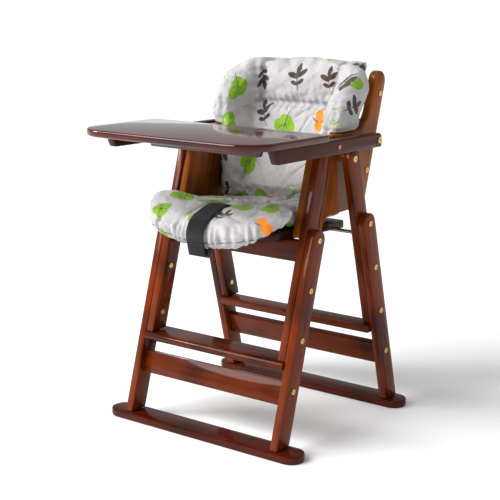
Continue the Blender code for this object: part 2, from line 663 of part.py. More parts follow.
def build_strap():
    """Crotch strap: from its slot forward over the pad's front, down and back under the seat board."""
    path = [(-0.0880, 0.5125), (-0.1180, 0.5145), (-0.1500, 0.5115), (-0.1785, 0.5060), (-0.2080, 0.4990),
            (-0.2250, 0.4900), (-0.2335, 0.4760), (-0.2350, 0.4550), (-0.2300, 0.4300), (-0.2200, 0.4130),
            (-0.2080, 0.4080), (-0.1960, 0.4130), (-0.1800, 0.4330), (-0.1640, 0.4520)]
    rings = []
    for i, p in enumerate(path):
        a = Vector(path[max(i - 1, 0)])
        b = Vector(path[min(i + 1, len(path) - 1)])
        d = (b - a).normalized()
        n = Vector((d.y, -d.x))
        low = Vector(p)
        high = low + n * STRAP_T
        h = STRAP_W / 2
        rings.append([(-h, low.x, low.y), (h, low.x, low.y), (h, high.x, high.y), (-h, high.x, high.y)])
    make("crotch_strap", loft(rings), "webbing")
    pts = [(-0.2210, 0.4180), (-0.2090, 0.4180), (-0.2090, 0.4370), (-0.2210, 0.4370)]
    make("strap_buckle", prism(pts, "x", -0.028, 0.028, ease=0.0025), "buckle")


def centre_on_origin():
    """Moves the chair so that the middle of its footprint box is the origin."""
    bpy.context.view_layer.update()
    ys = [(obj.matrix_world @ v.co).y for obj in bpy.data.objects if obj.type == "MESH" for v in obj.data.vertices]
    shift = -(min(ys) + max(ys)) / 2
    for obj in bpy.data.objects:
        obj.location.y += shift
    bpy.context.view_layer.update()
    print("shift in Y %.6f" % shift)
    print("fold pivot Y %.6f Z %.6f" % (FOLD_PIVOT[0] + shift, FOLD_PIVOT[1]))
    print("tray pivot Y %.6f Z %.6f" % (TRAY_PIVOT[0] + shift, TRAY_PIVOT[1]))


def main():
    clear_scene()
    foot_bar("front_foot_bar", FRONT_Y, BAR_HALF_FRONT, ROOT)
    foot_bar("rear_foot_bar", REAR_Y, BAR_HALF_REAR, FOLD_ORIGIN)
    build_legs()
    build_cross_boards()
    build_panels()
    build_back_rails()
    build_seat()
    build_tray()
    build_fasteners()
    build_seat_cushion()
    build_back_cushion()
    build_strap()
    centre_on_origin()


main()
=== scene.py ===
import bpy
import bmesh
import json
import math
from mathutils import Vector, Matrix, noise
from mathutils.bvhtree import BVHTree


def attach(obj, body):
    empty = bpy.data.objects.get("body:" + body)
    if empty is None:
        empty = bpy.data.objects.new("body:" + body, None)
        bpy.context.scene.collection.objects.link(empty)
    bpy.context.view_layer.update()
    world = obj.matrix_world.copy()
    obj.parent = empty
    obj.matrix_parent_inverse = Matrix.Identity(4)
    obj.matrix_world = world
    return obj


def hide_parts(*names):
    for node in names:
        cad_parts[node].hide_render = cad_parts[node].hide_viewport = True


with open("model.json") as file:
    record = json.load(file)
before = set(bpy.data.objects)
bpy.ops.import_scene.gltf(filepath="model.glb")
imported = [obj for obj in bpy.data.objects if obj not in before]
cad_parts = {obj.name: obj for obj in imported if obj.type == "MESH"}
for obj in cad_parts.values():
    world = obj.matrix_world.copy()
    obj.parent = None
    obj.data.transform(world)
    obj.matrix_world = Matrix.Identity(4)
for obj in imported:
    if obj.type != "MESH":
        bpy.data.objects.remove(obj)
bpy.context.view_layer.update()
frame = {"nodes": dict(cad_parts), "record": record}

scene = bpy.context.scene
print("chair: frame loaded,", len(frame["nodes"]), "nodes")


def hexToLinear(code):
    out = []
    for i in (0, 2, 4):
        c = int(code.lstrip("#")[i:i + 2], 16) / 255
        out.append(c / 12.92 if c <= 0.04045 else ((c + 0.055) / 1.055) ** 2.4)
    return (*out, 1.0)


def addNode(tree, kind, settings=None, inputs=None, links=None):
    node = tree.nodes.new(kind)
    for key, value in (settings or {}).items():
        setattr(node, key, value)
    for key, value in (inputs or {}).items():
        node.inputs[key].default_value = value
    for key, source in (links or {}).items():
        tree.links.new(source, node.inputs[key])
    return node


def maths(tree, operation, *terms, clamp=False):
    # a Math node; each term is a number or another node's socket
    node = addNode(tree, "ShaderNodeMath", {"operation": operation, "use_clamp": clamp})
    for key, term in enumerate(terms):
        if isinstance(term, (int, float)):
            node.inputs[key].default_value = term
        else:
            tree.links.new(term, node.inputs[key])
    return node.outputs[0]


def newPaint(name):
    paint = bpy.data.materials.new(name)
    paint.use_nodes = True
    return paint, paint.node_tree, paint.node_tree.nodes["Principled BSDF"]


def setInputs(shader, values):
    for key, value in values.items():
        shader.inputs[key].default_value = value


def noiseAt(tree, vector, scale, detail, **more):
    return addNode(tree, "ShaderNodeTexNoise", inputs={"Scale": scale, "Detail": detail, **more},
                   links={"Vector": vector}).outputs["Fac"]


def raised(tree, shader, height, strength, distance, under=None):
    # bump from a height; under is a coarser bump's normal
    links = {"Height": height}
    if under is not None:
        links["Normal"] = under
    bump = addNode(tree, "ShaderNodeBump", inputs={"Strength": strength, "Distance": distance}, links=links)
    tree.links.new(bump.outputs["Normal"], shader.inputs["Normal"])
    return bump.outputs["Normal"]


# camera and studio
view = {"position": (1.6622, -2.2118, 1.0546), "turn": 36.8, "down": 13.33, "roll": -0.31, "lens": 89.1}

cameraData = bpy.data.cameras.new("viewCamera")
cameraData.lens = view["lens"]
cameraData.sensor_width = 36
camera = bpy.data.objects.new("viewCamera", cameraData)
scene.collection.objects.link(camera)
turns = ((view["turn"], "Z"), (90 - view["down"], "X"), (view["roll"], "Z"))
camera.matrix_world = Matrix.Translation(view["position"])
for degrees, axis in turns:
    camera.matrix_world = camera.matrix_world @ Matrix.Rotation(math.radians(degrees), 4, axis)
scene.camera = camera
scene.view_settings.view_transform = "Standard"  # stained wood keeps its deep colour

studio = {"sky": 0.48, "floor": "#FFFFFF", "floorSize": 60, "sun": 3.6, "sunFrom": (-0.52, -0.78, 0.72),
          "softness": 42, "edge": 26, "edgeFrom": (-1.9, -1.2, 1.5)}

world = bpy.data.worlds.new("studioWorld")
world.use_nodes = True
world.node_tree.nodes["Background"].inputs["Color"].default_value = (1, 1, 1, 1)
world.node_tree.nodes["Background"].inputs["Strength"].default_value = studio["sky"]
scene.world = world


def addLight(name, kind, place, target, settings):
    data = bpy.data.lights.new(name, kind)
    for key, value in settings.items():
        setattr(data, key, value)
    lamp = bpy.data.objects.new(name, data)
    scene.collection.objects.link(lamp)
    lamp.location = place
    lamp.rotation_euler = (Vector(target) - Vector(place)).to_track_quat("-Z", "Y").to_euler()


addLight("broadSun", "SUN", studio["sunFrom"], (0, 0, 0),
         {"energy": studio["sun"], "angle": math.radians(studio["softness"])})
addLight("edgeStrip", "AREA", studio["edgeFrom"], (0, 0, 0.4), {"energy": studio["edge"], "size": 0.5})

floorMesh = bpy.data.meshes.new("studioFloor")
half = studio["floorSize"]
corners = [(-half, -half, 0), (half, -half, 0), (half, half, 0), (-half, half, 0)]
floorMesh.from_pydata(corners, [], [(0, 1, 2, 3)])
floor = bpy.data.objects.new("studioFloor", floorMesh)
scene.collection.objects.link(floor)
floor.location.z = -0.0003
floorPaint, _, floorShader = newPaint("matteWhiteFloor")
setInputs(floorShader, {"Base Color": hexToLinear(studio["floor"]), "Roughness": 0.75})
floorMesh.materials.append(floorPaint)
print("chair: camera and studio set")

# wood
woodTones = {
    "panel": ("#8E4A0C", "#522304"), "leg": ("#6C2804", "#330F01"), "bar": ("#471202", "#280801"),
    "rail": ("#592003", "#2C0C01"), "tray": ("#4A0E06", "#280603"), "arm": ("#42190A", "#260D06"),
    "board": ("#2A0E06", "#160603"),
}
# clear lacquer over stained wood: fibre and band widths in millimetres, length how far they are drawn out;
# gloss values are for the tray, whose top is glued from four boards
lacquer = {"fibre": 0.9, "band": 11.0, "length": 26.0, "cloud": 7.0, "bandShare": 0.62, "fibreShare": 0.24,
           "darkBelow": 0.72, "relief": 0.10, "reliefDepth": 0.0004, "roughness": 0.34, "specular": 0.04,
           "coat": 0.26, "coatRoughness": 0.05, "gloss": 2.6, "glossSpecular": 0.12, "joint": "#1E0604",
           "jointHalf": 0.0008, "jointEdge": 0.0018, "jointDepth": 6.0, "jointsAt": (-0.235, -0.165, -0.095)}


def lacqueredWood(name, tones, turn, gloss=1.0, planks=()):
    paint, tree, shader = newPaint(name)
    coords = addNode(tree, "ShaderNodeTexCoord")
    # grain runs along local X after the turn; millimetre sizes become cycles per metre
    aligned = addNode(tree, "ShaderNodeMapping", inputs={"Rotation": turn},
                      links={"Vector": coords.outputs["Object"]}).outputs["Vector"]
    drawn = addNode(tree, "ShaderNodeMapping", inputs={"Scale": (1 / lacquer["length"], 1, 1)},
                    links={"Vector": aligned}).outputs["Vector"]
    bands = noiseAt(tree, drawn, 1000 / lacquer["band"], 3.0, Roughness=0.6, Distortion=0.35)
    fibres = noiseAt(tree, drawn, 1000 / lacquer["fibre"], 2.0)
    cloud = noiseAt(tree, aligned, lacquer["cloud"], 2.0)
    figure = maths(tree, "MULTIPLY_ADD", bands, lacquer["bandShare"], cloud)
    figure = maths(tree, "MULTIPLY_ADD", fibres, lacquer["fibreShare"], figure)
    ramp = addNode(tree, "ShaderNodeValToRGB", links={"Fac": figure})
    for element, place, tone in zip(ramp.color_ramp.elements, (lacquer["darkBelow"], 1.0), reversed(tones)):
        element.position = place
        element.color = hexToLinear(tone)
    color = ramp.outputs["Color"]
    height = fibres
    if planks:
        # thin dark joints across Y, also pressed into the surface
        parts = addNode(tree, "ShaderNodeSeparateXYZ", links={"Vector": coords.outputs["Object"]})
        line = None
        for place in planks:
            away = maths(tree, "ABSOLUTE", maths(tree, "SUBTRACT", parts.outputs["Y"], place))
            near = addNode(tree, "ShaderNodeMapRange", links={"Value": away}, inputs={
                "From Min": lacquer["jointHalf"], "From Max": lacquer["jointEdge"]}).outputs[0]
            line = near if line is None else maths(tree, "MINIMUM", line, near)
        dark = addNode(tree, "ShaderNodeMix", {"data_type": "RGBA"}, links={"Factor": line})
        dark.inputs["A"].default_value = hexToLinear(lacquer["joint"])
        tree.links.new(color, dark.inputs["B"])
        color = dark.outputs["Result"]
        height = maths(tree, "MULTIPLY_ADD", line, lacquer["jointDepth"], height)
    tree.links.new(color, shader.inputs["Base Color"])
    raised(tree, shader, height, lacquer["relief"] / gloss, lacquer["reliefDepth"])
    setInputs(shader, {"Roughness": lacquer["roughness"] / gloss, "IOR": 1.5,
                       "Specular IOR Level": lacquer["specular"] if gloss == 1.0 else lacquer["glossSpecular"],
                       "Coat Weight": min(1.0, lacquer["coat"] * gloss),
                       "Coat Roughness": lacquer["coatRoughness"] / gloss, "Coat IOR": 1.52})
    return paint


# how far each leg frame leans from upright
lean = {"front": math.radians(17.27), "rear": math.radians(-13.98)}


def alongLeg(angle):
    # turns the leaning leg's length onto X: first upright, then flat
    m = Matrix.Rotation(math.radians(90), 4, "Y") @ Matrix.Rotation(angle, 4, "X")
    return tuple(m.to_euler("XYZ"))


woods = {
    "panel": lacqueredWood("stainedOakPanelLacquer", woodTones["panel"], alongLeg(lean["front"])),
    "frontLeg": lacqueredWood("stainedOakLegLacquer", woodTones["leg"], alongLeg(lean["front"])),
    "rearLeg": lacqueredWood("stainedOakRearLegLacquer", woodTones["leg"], alongLeg(lean["rear"])),
    "bar": lacqueredWood("stainedOakBarLacquer", woodTones["bar"], (0, 0, 0)),
    "rail": lacqueredWood("stainedOakRailLacquer", woodTones["rail"], (0, 0, 0)),
    "board": lacqueredWood("stainedPlySeatLacquer", woodTones["board"], (0, 0, 0)),
    "arm": lacqueredWood("stainedOakArmLacquer", woodTones["arm"], (0, 0, math.radians(90))),
    "tray": lacqueredWood("stainedOakTrayHighGloss", woodTones["tray"], (0, 0, 0), lacquer["gloss"],
                          lacquer["jointsAt"]),
}

woodOf = {"front_foot_bar": "bar", "rear_foot_bar": "bar", "footrest_board": "rail", "front_stretcher": "rail",
          "rear_step_board": "rail", "rear_stretcher": "rail", "seat_front_rail": "rail", "seat_board": "board",
          "back_top_rail": "rail", "back_middle_slat": "rail", "back_lower_slat": "rail",
          "tray_board": "tray", "tray_batten": "tray"}
for side in ("left", "right"):
    woodOf["side_panel_" + side] = "panel"
    woodOf["tray_arm_" + side] = "arm"
    for part in ("front_upper_leg_", "front_lower_leg_"):
        woodOf[part + side] = "frontLeg"
    for part in ("rear_upper_leg_", "rear_lower_leg_"):
        woodOf[part + side] = "rearLeg"

bodyOf = {node: body for body, nodes in frame["record"]["behaviour"]["bodies"].items() for node in nodes}
slotOf = {entry["node"]: entry["material_slot"] for entry in frame["record"]["subparts"]}


def smoothCopy(node, material, angle=38):
    # the CAD piece with its flat regions joined and its round edges shaded smooth
    mesh = frame["nodes"][node].data.copy()
    bm = bmesh.new()
    bm.from_mesh(mesh)
    bmesh.ops.remove_doubles(bm, verts=bm.verts, dist=0.00001)
    bmesh.ops.dissolve_limit(bm, angle_limit=math.radians(0.5), verts=bm.verts, edges=bm.edges)
    for face in bm.faces:
        face.smooth = True
    for edge in bm.edges:
        edge.smooth = len(edge.link_faces) == 2 and edge.calc_face_angle() < math.radians(angle)
    bm.to_mesh(mesh)
    bm.free()
    mesh.materials.clear()
    mesh.materials.append(material)
    piece = bpy.data.objects.new(node + "_finished", mesh)
    scene.collection.objects.link(piece)
    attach(piece, bodyOf[node])
    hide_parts(node)
    return piece


for node, kind in woodOf.items():
    smoothCopy(node, woods[kind])
print("chair: wood pieces finished")

# metal: brass-plated furniture bolts and screws, a zinc-plated rod


def platedMetal(name, color, roughness, grit):
    # grit is the size in millimetres of the plating's patches
    paint, tree, shader = newPaint(name)
    coords = addNode(tree, "ShaderNodeTexCoord")
    speck = noiseAt(tree, coords.outputs["Object"], 1000 / grit, 3.0)
    rough = addNode(tree, "ShaderNodeMapRange", inputs={"To Min": roughness - 0.06, "To Max": roughness + 0.10},
                    links={"Value": speck})
    tree.links.new(rough.outputs[0], shader.inputs["Roughness"])
    setInputs(shader, {"Base Color": hexToLinear(color), "Metallic": 1.0})
    return paint


brass = platedMetal("brassPlatedSteel", "#D8B070", 0.30, 1.5)
zinc = platedMetal("zincPlatedRod", "#8E8E7A", 0.32, 2.0)
for node in frame["nodes"]:
    if slotOf[node] == "fasteners":
        smoothCopy(node, brass)
smoothCopy("seat_support_rod", zinc)
print("chair: fasteners finished")

# liner: a printed, filled cloth pad in two parts
# lines of the chair that the pads meet: shift in y, the panels' inner faces, the back's slope and
# a point on it, how far the posts and slats stand ahead of it, and the armrests' top
cut = {"shift": 0.04444, "panelIn": 0.1588, "lean": 0.3109, "backY": 0.2570, "backZ": 0.7614,
       "postAhead": 0.04995, "slatAhead": 0.0268, "armTop": 0.6715}
# clearances the finished pads keep: from panels, seat board, posts and slats
keep = {"side": 0.0038, "backSide": 0.0042, "board": 0.0006, "post": 0.0015, "slat": 0.0012, "over": 0.012,
        "panelFrom": -0.1195, "boardFrom": -0.1795, "boardFront": -0.1812, "seatRear": 0.118,
        "armFrom": 0.128, "armSlope": 0.75}
filling = {"frames": 20, "quality": 4}


def eased(stations, count):
    # stations joined by straight steps, then smoothed, keeping the ends
    rows = []
    for i in range(count):
        t = i / (count - 1) * (len(stations) - 1)
        k = min(int(t), len(stations) - 2)
        rows.append([a + (b - a) * (t - k) for a, b in zip(stations[k], stations[k + 1])])
    for turn in range(3):
        rows = [rows[0]] + [[(p + 2 * q + r) / 4 for p, q, r in zip(rows[i - 1], rows[i], rows[i + 1])]
                            for i in range(1, count - 1)] + [rows[-1]]
    return rows


def closedLoft(rings):
    n = len(rings[0])
    verts = [p for ring in rings for p in ring]
    faces = [(k * n + i, k * n + (i + 1) % n, (k + 1) * n + (i + 1) % n, (k + 1) * n + i)
             for k in range(len(rings) - 1) for i in range(n)]
    faces += [tuple(range(n - 1, -1, -1)), tuple((len(rings) - 1) * n + i for i in range(n))]
    mesh = bpy.data.meshes.new("padForm")
    mesh.from_pydata(verts, [], faces)
    bm = bmesh.new()
    bm.from_mesh(mesh)
    bmesh.ops.recalc_face_normals(bm, faces=bm.faces)
    bm.to_mesh(mesh)
    bm.free()
    return mesh


def evaluatedCopy(piece):
    graph = bpy.context.evaluated_depsgraph_get()
    graph.update()
    return bpy.data.meshes.new_from_object(piece.evaluated_get(graph))


def inflate(name, rings, how, pinned):
    # fill the closed cloth form with air; pinned says which points are sewn down
    mesh = closedLoft(rings)
    piece = bpy.data.objects.new(name, mesh)
    scene.collection.objects.link(piece)
    remesh = piece.modifiers.new("evenCloth", "REMESH")
    remesh.mode = "VOXEL"
    remesh.voxel_size = how["voxel"]
    even = evaluatedCopy(piece)
    piece.modifiers.clear()
    piece.data = even
    flat = [v.co.copy() for v in even.vertices]
    group = piece.vertex_groups.new(name="sewn")
    for v in even.vertices:
        weight = pinned(v.co)
        if weight > 0:
            group.add([v.index], weight, "REPLACE")
    cloth = piece.modifiers.new("fill", "CLOTH")
    cloth.settings.quality = filling["quality"]
    cloth.settings.use_pressure = True
    cloth.settings.uniform_pressure_force = how["pressure"]
    cloth.settings.effector_weights.gravity = 0
    cloth.settings.vertex_group_mass = "sewn"
    cloth.settings.tension_stiffness = how["tension"]
    cloth.settings.compression_stiffness = how["tension"]
    cloth.settings.shrink_min = how["shrink"]
    cloth.point_cache.frame_end = filling["frames"]
    for number in range(1, filling["frames"] + 1):
        scene.frame_set(number)
    full = evaluatedCopy(piece)
    piece.modifiers.clear()
    # no point goes further from the form than the filling's travel
    for v, home in zip(full.vertices, flat):
        go = v.co - home
        if go.length > how["travel"]:
            v.co = home + go * (how["travel"] / go.length)
    piece.data = full
    scene.frame_set(1)
    piece.vertex_groups.clear()
    split = piece.modifiers.new("fine", "SUBSURF")
    split.levels = split.render_levels = 1
    fine = evaluatedCopy(piece)
    piece.modifiers.clear()
    piece.data = fine
    return piece


def pushAlong(mesh, amount):
    # move each point along its own normal
    normals = [v.normal.copy() for v in mesh.vertices]
    for v, n in zip(mesh.vertices, normals):
        v.co += n * amount(v.co, n)
    mesh.update()


def fade(distance, reach):
    return math.exp(-(distance / reach) ** 2)


def addPlan(mesh, place):
    # the cloth's own flat plan in metres, where the print lies
    layer = mesh.uv_layers.new(name="clothPlan")
    for face in mesh.polygons:
        n, middle = face.normal.copy(), face.center.copy()
        for k in face.loop_indices:
            layer.data[k].uv = place(mesh.vertices[mesh.loops[k].vertex_index].co, n, middle)


seat = {"voxel": 0.005, "pressure": 4.5, "tension": 12.0, "shrink": -0.03, "travel": 0.011,
        "smile": 0.034, "smileFrom": -0.085, "smileRun": 0.05, "smileHalf": 0.185, "puckers": 52,
        "pucker": 0.0034, "crease": 0.0048, "crumple": 0.0022, "ripple": 0.0034, "hemAt": 0.455,
        "slotY": -0.094, "slotHalf": 0.026, "slotDepth": 0.0040, "rowY": 0.010, "rowHalf": 0.150,
        "rowDepth": 0.0050, "sewnAbove": 0.485}
seatStations = [  # y, half width, underside, top
    (-0.2300, 0.090, 0.440, 0.466), (-0.2240, 0.128, 0.436, 0.482), (-0.2100, 0.156, 0.440, 0.492),
    (-0.1890, 0.174, 0.448, 0.498), (-0.1760, 0.182, 0.468, 0.502), (-0.1500, 0.188, 0.470, 0.508),
    (-0.1230, 0.186, 0.471, 0.512), (-0.1100, 0.155, 0.473, 0.510), (-0.0600, 0.156, 0.474, 0.502),
    (0.0000, 0.156, 0.473, 0.498), (0.0600, 0.156, 0.471, 0.494), (0.1150, 0.150, 0.469, 0.488)]


def smileRise(x, y):
    # the front roll curves up toward its corners
    front = min(1, max(0, (seat["smileFrom"] - y) / seat["smileRun"]))
    return seat["smile"] * front * (x / seat["smileHalf"]) ** 2


def seatRings():
    rings = []
    for y, w, low, high in eased(seatStations, 60):
        ring = []
        for i in range(40):
            a = 2 * math.pi * i / 40
            c, s = math.cos(a), math.sin(a)
            x = w * math.copysign(abs(c) ** 0.45, c)
            z = (low + high) / 2 + (high - low) / 2 * math.copysign(abs(s) ** 0.75, s)
            ring.append((x, y + cut["shift"], z + smileRise(x, y)))
        rings.append(ring)
    return rings


def seatPinned(p):
    # the strap's slot, the row that quilts the pad to its underside, and the underside
    y = p.y - cut["shift"]
    slot = abs(p.x) < seat["slotHalf"] and abs(y - seat["slotY"]) < 0.006
    row = abs(y - seat["rowY"]) < 0.004 and abs(p.x) < seat["rowHalf"]
    return 1.0 if (slot or row) and p.z > seat["sewnAbove"] else (0.85 if p.z < 0.4755 and y > -0.16 else 0.0)


seatPad = inflate("seat_liner", seatRings(), seat, seatPinned)


def hemDistance(p):
    # how far the point is above the pad's sewn outer edge, round the front
    y = p.y - cut["shift"]
    return p.z - (seat["hemAt"] + smileRise(p.x, y))


def seatDetail(p, n):
    # gathers round the front hem, creases spreading from the strap's slot, and the sewn row
    y = p.y - cut["shift"]
    angle = math.atan2(p.x, -(y + 0.080))
    front = min(1, max(0, (-0.100 - y) / 0.03)) if abs(p.x) < 0.19 else 1
    wobble = noise.noise(Vector((angle * 6, 3.1, 0.7)))
    gathers = math.sin(angle * seat["puckers"] + wobble * 5)
    depth = seat["pucker"] * front * gathers * fade(hemDistance(p) - 0.006, 0.022)
    span = math.hypot(p.x, y + 0.105)
    star = noise.noise(Vector((angle * 3.4, 8.2, span * 5)))
    star -= 0.3 * abs(noise.noise(Vector((angle * 9, 1.4, span * 9))))
    depth += seat["crease"] * star * min(1, span / 0.05) * (1 if p.z > 0.47 else 0.4)
    depth += seat["crumple"] * noise.noise(Vector((p.x * 34, p.y * 52, p.z * 30))) * (1 if n.z > -0.3 else 0)
    ripple = noise.noise(Vector((angle * 2.6, 2.2, span * 14)))
    if p.z > seat["sewnAbove"]:
        depth -= seat["ripple"] * max(0, 1 - abs(ripple) * 7) * min(1, span / 0.06)
    if p.z > 0.48:
        depth -= seat["rowDepth"] * fade(y - seat["rowY"], 0.007)
        depth -= seat["slotDepth"] * fade(y - seat["slotY"], 0.010) * fade(max(0, abs(p.x) - 0.024), 0.010)
    return depth


pushAlong(seatPad.data, seatDetail)


boardPoints = [v.co for v in frame["nodes"]["seat_board"].data.vertices]
boardEnds = (min(p.y for p in boardPoints), max(p.y for p in boardPoints))
boardTops = [max(p.z for p in boardPoints if abs(p.y - end) < 0.05) for end in boardEnds]


def seatBoardTop(y):
    share = (y - boardEnds[0]) / (boardEnds[1] - boardEnds[0])
    return max(boardTops[0] + (boardTops[1] - boardTops[0]) * share, min(boardTops))


def seatKeepOff(p):
    # pressed flat by the board below and by the side panels
    y = p.y - cut["shift"]
    inside = cut["panelIn"] - keep["side"]
    if y > keep["panelFrom"] and abs(p.x) > inside:
        p.x = math.copysign(inside, p.x)
    top = seatBoardTop(p.y)
    if y > keep["boardFrom"] and p.z < top + keep["board"]:
        p.z = top + keep["board"]
    elif y > keep["boardFront"] and p.z < top:
        p.y = keep["boardFront"] + cut["shift"]
    if y > keep["seatRear"]:
        p.y = keep["seatRear"] + cut["shift"]


def finishPad(piece, name, plan, keepOff):
    for v in piece.data.vertices:
        keepOff(v.co)
    for face in piece.data.polygons:
        face.use_smooth = True
    addPlan(piece.data, plan)
    piece.data.materials.clear()
    piece.data.materials.append(cloths[name])
    piece.data.update()
    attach(piece, "front_frame")


# back liner: centre pad, head pillow and two wings in one piece
back = {"voxel": 0.0055, "pressure": 4.5, "tension": 12.0, "shrink": -0.03, "travel": 0.012,
        "pillowLow": 0.716, "pillowSide": 0.104, "seam": 0.0060, "gather": 0.0016, "crease": 0.0034,
        "pucker": 0.0020, "fold": 0.0040, "crumple": 0.0026}
backStations = [  # height, half width, wing's rear, centre front, wing front, wing thickness
    (0.499, 0.140, 0.130, 0.066, 0.040, 0.028), (0.506, 0.146, 0.140, 0.056, 0.034, 0.030),
    (0.524, 0.149, 0.160, 0.072, 0.034, 0.030), (0.550, 0.150, 0.172, 0.106, 0.038, 0.030),
    (0.600, 0.151, 0.175, 0.130, 0.042, 0.030), (0.655, 0.151, 0.165, 0.147, 0.048, 0.030),
    (0.682, 0.176, 0.140, 0.156, 0.050, 0.036), (0.708, 0.181, 0.146, 0.161, 0.054, 0.040),
    (0.740, 0.182, 0.168, 0.165, 0.068, 0.042), (0.770, 0.182, 0.184, 0.167, 0.096, 0.042),
    (0.795, 0.172, 0.194, 0.170, 0.130, 0.038), (0.814, 0.152, 0.200, 0.178, 0.156, 0.032)]


def aheadOfBack(z, distance):
    return cut["backY"] + (z - cut["backZ"]) * cut["lean"] - distance + cut["shift"]


def postFront(z):
    return aheadOfBack(z, cut["postAhead"])


def slatFront(z):
    return aheadOfBack(z, cut["slatAhead"])


def backRings():
    # each ring goes from the slats round one wing to the centre, then mirrors
    rings = []
    for z, w, wingRear, centre, front, wing in eased(backStations, 48):
        rear = slatFront(z) - cut["shift"] - 0.006 - 0.6 * max(0, 0.530 - z)
        wingRear = min(wingRear, rear - 0.004)
        half = [(0.0, rear), (0.075, rear), (min(w, 0.150) - 0.012, rear), (min(w, 0.150), wingRear),
                (w, wingRear - 0.012), (w + 0.002, (wingRear + front) / 2), (w, front + wing / 2),
                (w - wing * 0.25, front + 0.003), (w - wing * 0.5, front), (w - wing * 0.8, front + 0.004),
                (w - wing, front + wing / 2), (w - wing - 0.002, (front + centre) / 2),
                (w - wing - 0.014, centre - 0.006), (w - wing - 0.040, centre)]
        mirror = [(-x, y) for x, y in reversed(half[1:])]
        rings.append([(x, y + cut["shift"], z) for x, y in half + [(0.0, centre)] + mirror])
    return rings


def backPinned(p):
    # sewn down round the head pillow, and held against the slats
    z, x = p.z, abs(p.x)
    front = p.y < slatFront(z) - 0.030
    pillow = front and x < back["pillowSide"] and abs(z - back["pillowLow"]) < 0.004
    side = front and z > back["pillowLow"] and abs(x - back["pillowSide"]) < 0.004
    return 1.0 if pillow or side else (0.85 if p.y > slatFront(z) - 0.010 and x < 0.13 else 0.0)


backPad = inflate("back_liner", backRings(), back, backPinned)


def backDetail(p, n):
    # seams round the head pillow, folds below it, and puckers along the wings' edge
    x, z = abs(p.x), p.z
    inner = p.y < slatFront(z) - 0.024 and n.y < 0.35
    depth = 0.0
    wingLine = noise.noise(Vector((p.z * 26, p.y * 8, 4.0 + math.copysign(2, p.x))))
    if inner:
        if x < back["pillowSide"] + 0.012:
            depth -= back["seam"] * fade(z - back["pillowLow"], 0.006)
        if z > back["pillowLow"]:
            depth -= back["seam"] * fade(x - back["pillowSide"], 0.006)
        edge = min(abs(z - back["pillowLow"]), abs(x - back["pillowSide"]) if z > back["pillowLow"] else 1)
        along = p.x if abs(z - back["pillowLow"]) < abs(x - back["pillowSide"]) else z
        depth += back["gather"] * math.sin(along * 330 + 3 * wingLine) * fade(edge - 0.008, 0.012)
    depth += back["crease"] * wingLine * (1 if x > 0.10 else 0.55)
    if inner and z < back["pillowLow"] - 0.010 and x < 0.14:
        ripple = noise.noise(Vector((p.x * 11 + z * 9, 5.2, z * 19 - x * 16)))
        depth -= back["fold"] * max(0, 1 - abs(ripple) * 7)
    outer = min(1, max(0, (x - 0.125) / 0.03))
    hem = fade(p.y - (0.050 + cut["shift"] + 0.9 * max(0, z - 0.720)), 0.030)
    depth += back["pucker"] * outer * hem * math.sin(z * 330 + 9 * wingLine) * (0.6 + wingLine)
    depth += back["crumple"] * noise.noise(Vector((p.x * 40 + p.z * 22, p.y * 30, p.z * 46 - p.x * 18)))
    return depth


pushAlong(backPad.data, backDetail)


def backKeepOff(p):
    # inside the side panels; over the armrests it may spread, as far as the posts
    inside = cut["panelIn"] - keep["backSide"]
    y = p.y - cut["shift"]
    armrest = cut["armTop"] + max(0, y - keep["armFrom"]) * keep["armSlope"]
    post = postFront(p.z)
    far = abs(p.x) > inside + keep["over"]
    if abs(p.x) > inside and (p.z < armrest or p.y > post - keep["post"]):
        if far and p.z > armrest - 0.010 and p.y < post:
            p.z = armrest
        elif far and p.z > armrest and p.y < post + keep["over"]:
            p.y = post - keep["post"]
        else:
            p.x = math.copysign(inside, p.x)
    slat = slatFront(p.z) - keep["slat"]
    if p.y > slat:
        p.y = slat


# printed cotton: leaves, fruit, sprigs and outlines strewn on the flat cloth, one to a cell;
# shares are the steps in chance between the four kinds, thread the weave's pitch in metres
printed = {"cell": 0.088, "scatter": 0.55, "motif": 0.80, "spin": 6.283,
           "shares": (-0.1, 0.36, 0.56, 0.80, 1.1), "ground": "#BAB8B8", "shade": "#A6A4A5",
           "green": "#74A006", "orange": "#EE8410", "brown": "#41332F", "mottle": 9.0,
           "thread": 0.0009, "weaveDepth": 0.00015, "crumple": 42.0, "crumpleDepth": 0.0060,
           "roughness": 0.88, "sheen": 0.18}


